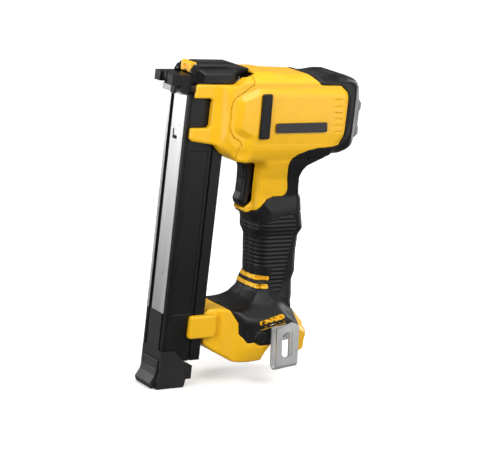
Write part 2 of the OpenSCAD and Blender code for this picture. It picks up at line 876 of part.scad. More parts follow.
module bumper(s) {
    color("dimgray") side(s > 0 ? body_half_w : -body_half_w - 1.8,
        s > 0 ? body_half_w + 1.8 : -body_half_w)
        soft_outline(2.4, 0) polygon([[93.5, -3], [105.5, -3], [106.5, -49], [94.5, -48]]);
}
module bumper_left() {
    bumper(-1);
}
module bumper_right() {
    bumper(1);
}
module badge(s) {
    color("gray") side(s > 0 ? body_half_w : -body_half_w - 0.8, s > 0 ? body_half_w + 0.8 : -body_half_w)
        soft_outline(2, 0) polygon([[114, -33], [177, -32.4], [178.3, -42.6], [115, -42.8]]);
}
module badge_left() {
    badge(-1);
}
module badge_right() {
    badge(1);
}

housing_left();
housing_right();
grip_left();
grip_right();
rear_cap();
rear_lamps();
top_cover();
cover_screws();
nose_latch();
latch_hinge_pin();
nose_plate();
nose_frame();
contact_trip();
trip_spring();
magazine_body();
magazine_rail();
magazine_base();
magazine_latch();
magazine_latch_pin();
magazine_latch_spring();
pusher();
pusher_spring();
staple_strip();
driver_blade();
driver_carriage();
guide_rods();
return_springs();
driver_bumpers();
flywheel();
motor_axle();
motor_stator();
motor_bearings();
pinch_arm();
pinch_roller();
pinch_pin();
solenoid();
solenoid_plunger();
trigger();
trigger_pin();
trigger_spring();
trigger_switch();
control_board();
wire_loom();
terminal_block();
battery_contacts();
belt_hook();
hook_screw();
hook_inserts();
housing_screws();
bumper_left();
bumper_right();
badge_left();
badge_right();
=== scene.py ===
import json
import math

import bmesh
import bpy
import numpy as np
from mathutils import Matrix, Vector


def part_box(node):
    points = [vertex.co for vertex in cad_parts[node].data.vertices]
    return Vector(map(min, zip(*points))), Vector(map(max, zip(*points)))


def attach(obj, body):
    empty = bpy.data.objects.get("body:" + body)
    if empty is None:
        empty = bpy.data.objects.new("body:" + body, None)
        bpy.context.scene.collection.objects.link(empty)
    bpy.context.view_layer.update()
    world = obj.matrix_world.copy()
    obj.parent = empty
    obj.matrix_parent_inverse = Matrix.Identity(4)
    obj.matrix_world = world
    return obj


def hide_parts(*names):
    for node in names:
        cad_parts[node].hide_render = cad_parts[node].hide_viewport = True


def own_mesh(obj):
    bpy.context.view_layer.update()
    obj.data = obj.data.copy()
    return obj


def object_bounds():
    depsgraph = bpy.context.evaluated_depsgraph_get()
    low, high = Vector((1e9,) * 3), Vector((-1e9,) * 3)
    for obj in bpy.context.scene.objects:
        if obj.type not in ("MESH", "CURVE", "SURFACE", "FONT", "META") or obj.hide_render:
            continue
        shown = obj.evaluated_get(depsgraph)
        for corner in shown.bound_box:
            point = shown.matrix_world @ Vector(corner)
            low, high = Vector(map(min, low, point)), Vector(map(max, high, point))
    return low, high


# Looks of the cordless cable stapler. Shapes are written in millimetres in the part's own frame, as
# distance functions of x, y and z that are negative inside, and turned into closed meshes in metres.

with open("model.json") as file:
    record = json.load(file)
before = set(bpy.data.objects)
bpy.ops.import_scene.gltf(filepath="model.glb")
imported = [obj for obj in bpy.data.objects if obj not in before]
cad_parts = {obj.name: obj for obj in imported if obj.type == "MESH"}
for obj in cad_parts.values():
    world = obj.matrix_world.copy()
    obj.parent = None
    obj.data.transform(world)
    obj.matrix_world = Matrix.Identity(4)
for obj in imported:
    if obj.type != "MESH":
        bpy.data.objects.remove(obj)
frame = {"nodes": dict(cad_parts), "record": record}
cad_low, cad_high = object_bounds()
MM = 0.001
# Spacing of the tables that hold outlines, and how far they reach past an outline, in millimetres
TABLE_STEP = 0.5
TABLE_MARGIN = 18
# Points on each rounded corner of an outline, and the least rounding that is worth making
CORNER_POINTS = 5
SMALLEST_REACH = 0.05
# A value larger than any distance in the model
FAR = 1e9


# ---------------------------------------------------------------- distance functions

def rounded(points, radius):
    """The outline with each corner turned into an arc, as far as its edges allow."""
    made = []
    count = len(points)
    for i in range(count):
        corner = np.array(points[i], float)
        back = np.array(points[i - 1], float) - corner
        ahead = np.array(points[(i + 1) % count], float) - corner
        lb, la = np.linalg.norm(back), np.linalg.norm(ahead)
        back, ahead = back / lb, ahead / la
        half = math.acos(max(-1, min(1, back @ ahead))) / 2
        reach = min(radius / math.tan(half), 0.48 * lb, 0.48 * la)
        almost_straight = half > 1.55
        if almost_straight or reach < SMALLEST_REACH:
            made.append(tuple(corner))
            continue
        start, end = corner + back * reach, corner + ahead * reach
        for s in np.linspace(0, 1, CORNER_POINTS):
            made.append(tuple((1 - s) ** 2 * start + 2 * s * (1 - s) * corner + s * s * end))
    return made


def square_to_edge(a, b, u, v):
    """Squared distance from u, v to the edge from a to b."""
    eu, ev = b[0] - a[0], b[1] - a[1]
    wu, wv = u - a[0], v - a[1]
    t = np.clip((wu * eu + wv * ev) / max(eu * eu + ev * ev, 1e-12), 0, 1)
    return (wu - eu * t) ** 2 + (wv - ev * t) ** 2


def exact(points, u, v):
    """Signed distance from u, v to a closed outline."""
    best = np.full(np.broadcast(u, v).shape, FAR)
    inside = np.zeros(best.shape, bool)
    for a, b in zip(points, points[1:] + points[:1]):
        best = np.minimum(best, square_to_edge(a, b, u, v))
        eu, ev = b[0] - a[0], b[1] - a[1]
        if ev != 0:
            inside ^= ((a[1] > v) != (b[1] > v)) & (u < eu * (v - a[1]) / ev + a[0])
    return np.where(inside, -1, 1) * np.sqrt(best)


def polyline(points, u, v):
    """Distance from u, v to an open line."""
    best = np.full(np.broadcast(u, v).shape, FAR)
    for a, b in zip(points, points[1:]):
        best = np.minimum(best, square_to_edge(a, b, u, v))
    return np.sqrt(best)


def flat(points, radius=0.0):
    """Signed distance to a rounded outline in a plane, read from a fine table."""
    points = [tuple(p) for p in (rounded(points, radius) if radius > 0 else points)]
    low = np.min(points, 0) - TABLE_MARGIN
    shape = np.ceil((np.max(points, 0) + TABLE_MARGIN - low) / TABLE_STEP).astype(int) + 1
    u = low[0] + TABLE_STEP * np.arange(shape[0])
    v = low[1] + TABLE_STEP * np.arange(shape[1])
    table = exact(points, u[:, None], v[None, :])

    def look(a, b):
        i = np.clip((a - low[0]) / TABLE_STEP, 0, shape[0] - 1.001)
        j = np.clip((b - low[1]) / TABLE_STEP, 0, shape[1] - 1.001)
        i0, j0 = i.astype(int), j.astype(int)
        fi, fj = i - i0, j - j0
        return (table[i0, j0] * (1 - fi) * (1 - fj) + table[i0 + 1, j0] * fi * (1 - fj)
                + table[i0, j0 + 1] * (1 - fi) * fj + table[i0 + 1, j0 + 1] * fi * fj)

    return look


def mirrored(points):
    """A half outline, given from the middle outwards and back, made whole across the first axis."""
    points = [p for p in points if p[0] > 0]
    return points + [(-p[0], p[1]) for p in reversed(points)]


def side(points, radius=0.0):
    """An endless bar whose outline is given in x and z."""
    look = flat(points, radius)
    return lambda x, y, z: look(x, z)


def plan(half, radius=0.0):
    """An endless bar whose half outline is given in x and y."""
    look = flat([(x, y) for x, y in half] + [(x, -y) for x, y in reversed(half)], radius)
    return lambda x, y, z: look(x, y)


def front(half, radius=0.0):
    """An endless bar whose half outline is given in y and z."""
    look = flat(mirrored(half), radius)
    return lambda x, y, z: look(y, z)


def wide(half):
    """Everything within half of the middle plane."""
    return lambda x, y, z: np.abs(y) - half


def box(x0, x1, y0, y1, z0, z1):
    """A block between two corners."""
    def f(x, y, z):
        qx = np.abs(x - (x0 + x1) / 2) - (x1 - x0) / 2
        qy = np.abs(y - (y0 + y1) / 2) - (y1 - y0) / 2
        qz = np.abs(z - (z0 + z1) / 2) - (z1 - z0) / 2
        out = np.sqrt(np.maximum(qx, 0) ** 2 + np.maximum(qy, 0) ** 2 + np.maximum(qz, 0) ** 2)
        return out + np.minimum(np.maximum(np.maximum(qx, qy), qz), 0)
    return f


def twin(shape):
    """A shape given on the +Y side, on both sides."""
    return lambda x, y, z: shape(x, np.abs(y), z)


def round_bar(at_x, at_z, r):
    """An endless round bar across the tool."""
    return lambda x, y, z: np.sqrt((x - at_x) ** 2 + (z - at_z) ** 2) - r


def meet(r, *shapes):
    """What is in all shapes, with edges of radius r."""
    def f(x, y, z):
        d = shapes[0](x, y, z)
        for s in shapes[1:]:
            e = s(x, y, z)
            if r <= 0:
                d = np.maximum(d, e)
            else:
                d = np.minimum(-r, np.maximum(d, e)) + np.sqrt(
                    np.maximum(r + d, 0) ** 2 + np.maximum(r + e, 0) ** 2)
        return d
    return f


def join(r, *shapes):
    """What is in any shape, with fillets of radius r."""
    def f(x, y, z):
        d = shapes[0](x, y, z)
        for s in shapes[1:]:
            e = s(x, y, z)
            if r <= 0:
                d = np.minimum(d, e)
            else:
                d = np.maximum(r, np.minimum(d, e)) - np.sqrt(
                    np.maximum(r - d, 0) ** 2 + np.maximum(r - e, 0) ** 2)
        return d
    return f


def outside(shape):
    """Everything but the shape."""
    return lambda x, y, z: -shape(x, y, z)


def cut(r, shape, *tools):
    """The shape without the tools, with edges of radius r."""
    return meet(r, shape, *[outside(t) for t in tools])


def grown(shape, by):
    """The shape with its surface moved outwards."""
    return lambda x, y, z: shape(x, y, z) - by


# ---------------------------------------------------------------- meshes from distance functions

# Distance in millimetres over which a slope is measured, and how often points are moved to a surface
PROBE = 0.04
SETTLE_ROUNDS = 3


def net(shape, low, high, cell):
    """Vertices and quads of the surface, one vertex for each grid cell that it passes through."""
    axes = [np.arange(a - 1.5 * cell, b + 2.5 * cell, cell) for a, b in zip(low, high)]
    size = [len(a) for a in axes]
    x, y, z = axes[0][:, None, None], axes[1][None, :, None], axes[2][None, None, :]
    d = np.array(np.broadcast_to(shape(x, y, z), size))
    inside = d < 0
    cells = np.array(size) - 1
    total = int(cells.prod())
    stride = np.array([cells[1] * cells[2], cells[2], 1])
    count = np.zeros(total)
    place = np.zeros((3, total))
    quads = []
    for a in range(3):
        b, c = (a + 1) % 3, (a + 2) % 3
        lower = [slice(None)] * 3
        upper = [slice(None)] * 3
        lower[a], upper[a] = slice(0, -1), slice(1, None)
        at = np.array(np.nonzero(inside[tuple(lower)] != inside[tuple(upper)]))
        ahead = at.copy()
        ahead[a] += 1
        d0, d1 = d[tuple(at)], d[tuple(ahead)]
        spot = at.astype(float)
        spot[a] += d0 / (d0 - d1)
        ring = []
        for ob, oc in ((0, 0), (1, 0), (1, 1), (0, 1)):
            cell_at = at.copy()
            cell_at[b] -= ob
            cell_at[c] -= oc
            number = stride @ cell_at
            ring.append(number)
            count += np.bincount(number, minlength=total)
            for k in range(3):
                place[k] += np.bincount(number, weights=spot[k], minlength=total)
        ring = np.array(ring).T
        flip = d0 > 0
        ring[flip] = ring[flip][:, ::-1]
        quads.append(ring)
    used = count > 0
    name = np.cumsum(used) - 1
    points = (place[:, used] / count[used]).T * cell + np.array([a[0] for a in axes])
    return points, name[np.concatenate(quads)]


def slope(shape, p, d):
    """How fast the distance changes along x, y and z at points p, where it is d."""
    return np.stack([shape(*(p + PROBE * e).T) - d for e in np.eye(3)], 1) / PROBE


def settle(shape, p, cell):
    """Moves points onto the surface."""
    furthest = 0.6 * cell
    for _ in range(SETTLE_ROUNDS):
        d = shape(*p.T)
        g = slope(shape, p, d)
        step = np.clip(d / np.maximum((g * g).sum(1), 0.25), -furthest, furthest)
        p = p - step[:, None] * g
    return p


def refine(mesh, fine):
    """Halves the mesh's edges where fine(x, y, z) is negative."""
    bm = bmesh.new()
    bm.from_mesh(mesh)
    at = np.array([v.co for v in bm.verts]) / MM
    near = fine(*at.T) < 0
    bm.verts.index_update()
    edges = [e for e in bm.edges if near[e.verts[0].index] and near[e.verts[1].index]]
    bmesh.ops.subdivide_edges(bm, edges=edges, cuts=1, use_grid_fill=True)
    bmesh.ops.triangulate(bm, faces=[f for f in bm.faces if len(f.verts) > 4])
    bm.to_mesh(mesh)
    bm.free()


def build(name, shape, low, high, cell, body, slot, stands_for=(), fine=None, mirror=False):
    """A closed mesh of the shape between two corners, with the material of its slot. cell is the size
    of its facets. Where fine(x, y, z) is negative, the mesh is made finer before it settles."""
    points, quads = net(shape, low, high, cell)
    mesh = bpy.data.meshes.new(name)
    mesh.from_pydata((points * MM).tolist(), [], quads.tolist())
    if fine is not None:
        refine(mesh, fine)
    count = len(mesh.vertices)
    at = np.empty(count * 3)
    mesh.vertices.foreach_get("co", at)
    at = settle(shape, at.reshape(-1, 3) / MM, cell)
    normals = slope(shape, at, shape(*at.T))
    normals /= np.maximum(np.linalg.norm(normals, axis=1), 1e-9)[:, None]
    if mirror:
        at[:, 1] *= -1
        normals[:, 1] *= -1
        mesh.flip_normals()
    mesh.vertices.foreach_set("co", (at * MM).ravel())
    mesh.update()
    mesh.shade_smooth()
    mesh.normals_split_custom_set_from_vertices(normals.tolist())
    piece = bpy.data.objects.new(name, mesh)
    bpy.context.scene.collection.objects.link(piece)
    mesh.materials.append(look[slot])
    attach(piece, body)
    if stands_for:
        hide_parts(*stands_for)
    return piece


# ---------------------------------------------------------------- materials

# Where the soft clouds of every surface change from dark to light, and how their roughness varies
CLOUD_SCALE = 60
CLOUD_LOW = 0.3
CLOUD_HIGH = 0.7
ROUGHNESS_SPREAD = 0.06
COAT_ROUGHNESS = 0.12
GRAIN_STRENGTH = 0.6


def material(name, colour, roughness, metallic=0.0, coat=0.0, grain=0.0, grain_size=0.4, mottle=0.04,
             stretch=(1, 1, 1), specular=0.5):
    """A moulded, rubber or metal surface: colour and roughness vary a little, and a fine grain raises
    bumps. grain is the height of the bumps and grain_size their width, both in millimetres. mottle is
    how much the colour varies, and stretch draws the pattern out along an axis, as brushing does."""
    m = bpy.data.materials.new(name)
    m.use_nodes = True
    nodes, links = m.node_tree.nodes, m.node_tree.links
    shader = nodes["Principled BSDF"]
    shader.inputs["Metallic"].default_value = metallic
    shader.inputs["Coat Weight"].default_value = coat
    shader.inputs["Coat Roughness"].default_value = COAT_ROUGHNESS
    shader.inputs["Specular IOR Level"].default_value = specular
    place = nodes.new("ShaderNodeTexCoord")
    scale = nodes.new("ShaderNodeMapping")
    scale.inputs["Scale"].default_value = stretch
    links.new(place.outputs["Object"], scale.inputs["Vector"])
    cloud = nodes.new("ShaderNodeTexNoise")
    cloud.inputs["Scale"].default_value = CLOUD_SCALE
    cloud.inputs["Detail"].default_value = 5
    links.new(scale.outputs["Vector"], cloud.inputs["Vector"])
    tint = nodes.new("ShaderNodeValToRGB")
    dark, light = tint.color_ramp.elements
    dark.position = CLOUD_LOW
    dark.color = (*[c * (1 - mottle) for c in colour], 1)
    light.position = CLOUD_HIGH
    light.color = (*[min(1, c * (1 + mottle)) for c in colour], 1)
    links.new(cloud.outputs["Fac"], tint.inputs["Fac"])
    links.new(tint.outputs["Color"], shader.inputs["Base Color"])
    rough = nodes.new("ShaderNodeMapRange")
    rough.inputs["From Min"].default_value = CLOUD_LOW
    rough.inputs["From Max"].default_value = CLOUD_HIGH
    rough.inputs["To Min"].default_value = max(0.05, roughness - ROUGHNESS_SPREAD)
    rough.inputs["To Max"].default_value = min(1.0, roughness + ROUGHNESS_SPREAD)
    links.new(cloud.outputs["Fac"], rough.inputs["Value"])
    links.new(rough.outputs["Result"], shader.inputs["Roughness"])
    if grain > 0:
        speck = nodes.new("ShaderNodeTexNoise")
        speck.inputs["Scale"].default_value = 1 / (grain_size * MM)
        speck.inputs["Detail"].default_value = 2
        links.new(scale.outputs["Vector"], speck.inputs["Vector"])
        bump = nodes.new("ShaderNodeBump")
        bump.inputs["Strength"].default_value = GRAIN_STRENGTH
        bump.inputs["Distance"].default_value = grain * MM
        links.new(speck.outputs["Fac"], bump.inputs["Height"])
        links.new(bump.outputs["Normal"], shader.inputs["Normal"])
    return m


YELLOW = (0.96, 0.52, 0.008)
BLACK = (0.0045, 0.0045, 0.0048)
SOFT_BLACK = (0.0035, 0.0035, 0.0038)
RUBBER_BLACK = (0.006, 0.006, 0.0063)
OXIDE_BLACK = (0.0035, 0.0035, 0.004)
# What each material slot of the record looks like
look = {
    "yellow_shell": material("moulded_yellow", YELLOW, 0.4, coat=0.12, specular=0.4, grain=0.02,
                             grain_size=0.7, mottle=0.03),
    "yellow_clip": material("clip_yellow", YELLOW, 0.38, coat=0.12, specular=0.4, grain=0.02,
                            grain_size=0.7, mottle=0.03),
    "black_shell": material("moulded_black", BLACK, 0.36, specular=0.32, grain=0.03, grain_size=0.5,
                            mottle=0.12),
    "soft_grip": material("soft_grip_black", SOFT_BLACK, 0.44, specular=0.36, grain=0.03,
                          grain_size=0.45, mottle=0.15),
    "black_steel": material("black_oxide_steel", OXIDE_BLACK, 0.34, specular=0.26, grain=0.02,
                            mottle=0.15),
    "bright_steel": material("bright_steel", (0.68, 0.68, 0.68), 0.38, metallic=1.0, grain=0.015,
                             grain_size=0.3, mottle=0.08, stretch=(1, 1, 0.08)),
    "spring_steel": material("spring_steel", (0.5, 0.5, 0.5), 0.3, metallic=1.0, mottle=0.1),
    "pin_steel": material("pin_steel", (0.55, 0.55, 0.56), 0.28, metallic=1.0, mottle=0.08),
    "cast_frame": material("cast_aluminium", (0.5, 0.5, 0.51), 0.5, metallic=1.0, grain=0.05,
                           grain_size=0.6),
    "wheel_steel": material("turned_steel", (0.4, 0.4, 0.41), 0.32, metallic=1.0, mottle=0.1),
    "winding": material("enamelled_wire", (0.6, 0.22, 0.07), 0.35, metallic=0.7, grain=0.1,
                        grain_size=0.5),
    "coil_wrap": material("taped_coil", (0.02, 0.05, 0.06), 0.45, grain=0.05, grain_size=0.8),
    "bumper_rubber": material("bumper_rubber", RUBBER_BLACK, 0.46, specular=0.3, grain=0.04,
                              grain_size=0.4, mottle=0.15),
    "switch_plastic": material("switch_plastic", (0.02, 0.02, 0.022), 0.4, grain=0.02),
    "board": material("solder_mask", (0.01, 0.09, 0.04), 0.3, coat=0.5, grain=0.02, grain_size=0.8,
                      mottle=0.15),
    "leads": material("insulated_wire", (0.4, 0.02, 0.02), 0.4, mottle=0.06),
    "contact_brass": material("plated_contacts", (0.75, 0.5, 0.2), 0.25, metallic=1.0, mottle=0.08),
    "insert_brass": material("brass_inserts", (0.7, 0.48, 0.18), 0.3, metallic=1.0, grain=0.05,
                             grain_size=0.5),
    "badge_grey": material("badge_grey", (0.03, 0.03, 0.032), 0.4, specular=0.3, grain=0.01,
                           mottle=0.08),
    "lamp_grey": material("end_bar_grey", (0.12, 0.12, 0.125), 0.25, coat=0.5, mottle=0.05),
}
slot_of = {s["node"]: s["material_slot"] for s in frame["record"]["subparts"]}
# Nodes whose surface differs from the rest of their slot
node_look = {
    "magazine_base": material("matt_black", (0.016, 0.016, 0.017), 0.46, specular=0.4, grain=0.04,
                              grain_size=0.5, mottle=0.1),
    "magazine_latch": material("ribbed_black", (0.022, 0.022, 0.023), 0.42, specular=0.45, grain=0.04,
                               grain_size=0.5, mottle=0.1),
    "belt_hook": material("brushed_hook", (0.86, 0.86, 0.86), 0.48, metallic=0.92, grain=0.02,
                          grain_size=0.3, mottle=0.05, stretch=(1, 1, 0.15)),
    "nose_plate": material("plate_steel", (0.34, 0.34, 0.35), 0.42, metallic=1.0, grain=0.02,
                           grain_size=0.3, mottle=0.08),
}

# ---------------------------------------------------------------- CAD nodes shown as they are

WELD_DISTANCE = 0.002 * MM
# Edges are rounded by this many millimetres, or by this share of the node's thinnest side if less
EDGE_WIDTH = 0.45
EDGE_SHARE = 0.16
THINNEST_ROUNDED = 1.2 * MM


def welded(obj):
    """Joins the vertices that the import split."""
    weld = obj.modifiers.new("weld", "WELD")
    weld.merge_threshold = WELD_DISTANCE


def dress_cad_nodes():
    """CAD nodes that are shown as they are get their material and softened edges."""
    for node, obj in frame["nodes"].items():
        obj.data.materials.clear()
        obj.data.materials.append(node_look.get(node, look[slot_of[node]]))
        welded(obj)
        low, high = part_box(node)
        thinnest = min((high - low)[:])
        if "spring" not in node and thinnest > THINNEST_ROUNDED:
            edge = obj.modifiers.new("edge", "BEVEL")
            edge.width = min(EDGE_WIDTH, EDGE_SHARE * thinnest / MM) * MM
            edge.segments = 2
            edge.limit_method = "ANGLE"
            edge.angle_limit = math.radians(35)
            edge.harden_normals = True
            edge.use_clamp_overlap = True


dress_cad_nodes()


def shortening_spring(name, node, body):
    """A coil spring copied from its CAD node, welded and shown on the given body in the node's place."""
    cad = frame["nodes"][node]
    coil = bpy.data.objects.new(name, cad.data.copy())
    bpy.context.scene.collection.objects.link(coil)
    welded(coil)
    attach(coil, body)
    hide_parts(node)
    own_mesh(coil)


shortening_spring("trip_return_spring", "trip_spring", "tool")
shortening_spring("driver_return_springs", "return_springs", "tool")
shortening_spring("trigger_return_spring", "trigger_spring", "tool")
shortening_spring("latch_return_spring", "magazine_latch_spring", "drawer")

# ---------------------------------------------------------------- forms of the shells

# Clearance of each half from the middle plane, and the thickness of the plastic
HALF_GAP = 0.12
WALL = 3.0
# Distance of the flat side panels from the middle plane, and the width and slope of their bevel
PANEL_AT = 37.5
BEVEL_WIDTH = 8
BEVEL_SLOPE = 0.6
BEVEL_SCALE = 0.86
panel_edge = flat([(75.3, -13.5), (92.6, -6.7), (196, -6.6), (199, -10), (199, -43), (196, -46.8),
                   (95.8, -46.6), (75.5, -37.3)], 1.5)


def left_half(x, y, z):
    """The side on which each half shell is modelled; the other half is its mirror image."""
    return y + HALF_GAP


def panel_faces(x, y, z):
    """The flat side panel, with a bevel that falls away from its edge all round."""
    out = np.clip(panel_edge(x, z), 0, BEVEL_WIDTH)
    return (np.abs(y) - PANEL_AT + BEVEL_SLOPE * out) * BEVEL_SCALE


def motor_form():
    """The large housing round the motor."""
    drum = meet(
        7,
        side([(52, 3), (84, 15.6), (96, 17.8), (113, 17.6), (124, 15.0), (158, 13.7), (166, 13.2),
              (173, 10.8), (183, 11.6), (193, 13.9), (204, 13.8), (216, 9.6), (225, 3), (231.5, -14),
              (231.5, -46), (222, -61), (207, -68.5), (160, -70.5), (120, -71.5), (78, -74), (62, -66),
              (56, -60)], 9),
        front([(0, 18), (20, 18), (33, 7), (38, -7), (38.6, -26), (38, -46), (32, -60), (22, -75),
               (0, -75)], 7),
        plan([(50, 27), (58, 31), (64, 35), (69, 38.6), (198, 38.6), (214, 33), (226, 23), (232, 8)], 10),
    )
    return meet(0.7, drum, panel_faces)


def top_pip(x, y, z):
    """The small raised mark on each side of the housing's top, behind the cover."""
    along, across = (x - 89) / 1.7, (np.abs(y) - 12.6) / 1.1
    return np.sqrt(along ** 2 + across ** 2 + (z - 15.4) ** 2) - 2.6


def arms_form():
    """The two arms on each side that hold the magazine's upper end, with the gap between them."""
    arms = meet(
        3,
        side([(24, -10.5), (25.5, 3.6), (60, 4.6), (100, 12), (100, -75), (78, -73.5), (67, -65),
              (59, -60), (50, -56.8), (27, -53.6), (24, -50.5)], 3),
        plan([(22, 21.5), (24, 23), (27, 23.5), (46, 24), (55, 26.5), (63, 30), (90, 31.5)], 3),
    )
    gap = side([(0, -40.2), (43, -40.2), (45.5, -37.5), (45.5, -13.5), (43, -10.5), (0, -10.5)], 2)
    return cut(2.0, arms, gap)


def neck_form():
    """The neck between the motor housing and the handle."""
    return meet(
        7,
        side([(86, -50), (88, -70), (94, -75.5), (111, -76.8), (114.4, -82), (114.8, -118),
              (114.6, -124), (117, -132), (121, -140), (122, -150), (180, -150), (175.5, -137),
              (172.4, -127), (169.4, -112), (166.8, -101), (165.4, -92), (166.3, -86), (169.6, -81),
              (180, -75.6), (188, -72), (194, -69), (194, -50)], 4),
        front([(0, -160), (17.5, -160), (18.4, -130), (19, -112), (22, -94), (29, -76), (33, -60),
               (33, -40), (0, -40)], 9),
    )


def handle_form():
    """The part that the hand holds."""
    return meet(
        15,
        side([(121.6, -118), (121.8, -150), (125.2, -186), (126.6, -197), (127.8, -206),
              (127, -213.5), (122, -222.5), (119, -234), (178, -234), (179.4, -219), (178.6, -203),
              (181, -194), (180, -187), (178.6, -173), (178.8, -158), (175.2, -125), (173, -112)], 5),
        front([(0, -110), (18, -110), (18.8, -150), (18.2, -180), (17.6, -205), (20, -225),
               (24, -240), (0, -240)], 6),
    )


def rear_slope(x, y, z):
    """The plane that cuts the foot's upper rear corners."""
    by_y, by_z = 0.734, 1.26
    steepness = math.sqrt(1 + by_y ** 2 + by_z ** 2)
    return (x + by_y * np.abs(y) + by_z * (z + 238) - 188.5) / steepness


def foot_form():
    """The foot that takes the battery, and its arm to the magazine."""
    return meet(
        3,
        side([(70, -229), (88, -228.4), (104, -228), (114, -226.2), (121, -222), (127, -213.5),
              (129, -200), (178, -200), (180, -228), (194, -243), (201, -253), (199, -266),
              (190, -275), (150, -281), (118, -284.5), (100, -282.5), (84, -274.5), (70, -265.5)], 7),
        plan([(62, 15.5), (80, 17), (88, 20.5), (97, 29), (106, 35.5), (118, 38.2), (168, 38.2),
              (188, 30), (201, 16)], 8),
        front([(0, -190), (15, -190), (18, -212), (24, -224), (38.2, -239), (38.2, -267),
               (32.5, -285), (0, -285)], 6),
        rear_slope,
    )


def horn_form():
    """The point of the neck under the trigger."""
    outline = side([(113, -121), (108.6, -124), (106.4, -127.4), (109, -131), (120, -137),
                    (128, -130), (122, -119)], 2.5)
    return meet(2, outline, wide(10.5))


def lower_cheeks():
    """The clamp that holds the magazine's lower end."""
    return meet(2.5, side([(48, -233), (80, -233), (80, -257), (48, -257)], 3.5), wide(23.5))


motor = motor_form()
neck = neck_form()
lower = join(9, join(3, neck, horn_form()), join(8, handle_form(), foot_form()))
nose_and_motor = join(9, join(2.5, join(1.5, motor, top_pip), arms_form()), lower)
whole = join(3, nose_and_motor, lower_cheeks())
motor_and_neck = join(5, motor, neck)

# ---------------------------------------------------------------- rooms and zones

bay_arch = round_bar(156, -282.5, 23)
bay = join(0, box(110, 260, -29, 29, -300, -264), box(116, 260, -23, 23, -300, -252))
magazine_room = box(0, 67.4, -17.7, 17.7, -400, 40)
trigger_room = join(0, box(78, 116, -8.6, 8.6, -126.6, -74.6), box(100, 126, -8.6, 8.6, -125.4, -62))
nose_room = join(0, box(0, 92, -17.7, 17.7, -20, 13), box(0, 86, -20, 20, -14, 12))
cover_zone = side([(10, 3.4), (68.5, 3.4), (78.5, 10.4), (92, 13.6), (92, 60), (10, 60)])
grip_zone = side(
    [(215, -66), (150.5, -66), (145.3, -71.2), (143.2, -75), (143.6, -79.5), (144.9, -84),
     (147.2, -91.5), (149.8, -99), (151.4, -105.5), (150.4, -110.6), (146.5, -113.3), (135, -113.2),
     (127.5, -116), (117.5, -127.6), (112.5, -130.6), (90, -133), (88, -150), (75, -150), (70, -200),
     (86, -219.5), (91.6, -224), (96.5, -233), (101.5, -241), (102.5, -252), (112, -261.5),
     (121, -260.6), (126, -264.6), (142, -264.6), (158, -261), (176, -248), (186, -241), (215, -241)], 3)
cap_inner = flat(
    [(140, 40), (159.5, 40), (161.5, 13), (168.5, 4.6), (194, 4.2), (203, -3), (203.3, -50),
     (199.5, -57.2), (192, -58.8), (171, -60.2), (160.5, -62.4), (150.6, -66.7), (145, -71.2),
     (137, -80), (100, -120), (40, -120), (40, 40)], 4)
# Where the end cap starts along X, and how low it reaches
CAP_FRONT = 141
CAP_LOWEST = -71


def cap_zone(x, y, z):
    """What the black end cap covers: the motor shell behind and around the yellow side panels."""
    return np.maximum(np.maximum(-cap_inner(x, z), CAP_FRONT - x), CAP_LOWEST - z)


# ---------------------------------------------------------------- yellow accents in the grip

# Fall of the two rings towards the rear, and the height below which no ring is drawn
RING_TILT = -0.045
RINGS_LOWEST = -215
# Distance from the middle plane beyond which the foot's bars are drawn
BARS_FROM = 30
WINDOW_STEP = (7.1, 1.26)


def ring_band(start, reach, half, first):
    """A band round the handle's front that falls rearwards, with a rounded end."""
    def edge(x, y, z):
        return np.abs(z - start - RING_TILT * (x - 112)) - half
    return meet(1.5, edge, lambda x, y, z: x - reach, lambda x, y, z: first - x)


def tilted_bar(x0, z0, x1, z1, half):
    """A bar along a line in the side view."""
    length = math.hypot(x1 - x0, z1 - z0)
    cos, sin = (x1 - x0) / length, (z1 - z0) / length
    mx, mz = (x0 + x1) / 2, (z0 + z1) / 2

    def along(x, y, z):
        return np.abs((x - mx) * cos + (z - mz) * sin) - length / 2

    def across(x, y, z):
        return np.abs((z - mz) * cos - (x - mx) * sin) - half

    return meet(min(1.4, 0.8 * half), along, across)


rings = join(0, ring_band(-198.3, 142.4, 2.3, 90), ring_band(-206.6, 141.6, 2.3, 90))
ring_windows = join(0, ring_band(-198.3, 139.8, 1.2, 128.5), ring_band(-206.6, 139, 1.2, 128.5))
foot_bars = join(0, tilted_bar(123.5, -241.2, 154.6, -235.6, 2.1),
                 tilted_bar(124, -248.6, 156, -242.6, 0.55), tilted_bar(128, -245.4, 155, -240.2, 0.4))
foot_windows = join(0, *[
    tilted_bar(125.4 + WINDOW_STEP[0] * i, -240.9 + WINDOW_STEP[1] * i,
               131 + WINDOW_STEP[0] * i, -239.9 + WINDOW_STEP[1] * i, 1.15)
    for i in range(4)])


def rings_and_bars(ring, bar, x, y, z):
    """Rings on the handle and bars on the foot, each only where it belongs."""
    rings_here = np.maximum(ring(x, y, z), RINGS_LOWEST - z)
    bars_here = np.maximum(bar(x, y, z), BARS_FROM - np.abs(y))
    return np.minimum(rings_here, bars_here)


def accent_place(x, y, z):
    """Where the yellow core shows through the soft grip."""
    return rings_and_bars(rings, foot_bars, x, y, z)


def accent_windows(x, y, z):
    """The slots in the accents."""
    return rings_and_bars(ring_windows, foot_windows, x, y, z)


def accents_form():
    """The accents on the left side, which stand a little proud of the grip."""
    accents = meet(0.35, accent_place, grown(lower, 0.95), outside(grown(lower, -3.0)))
    accents = cut(0, accents, meet(0, accent_windows, outside(grown(lower, -1.6))))
    return meet(0.1, accents, left_half)


# ---------------------------------------------------------------- yellow housing

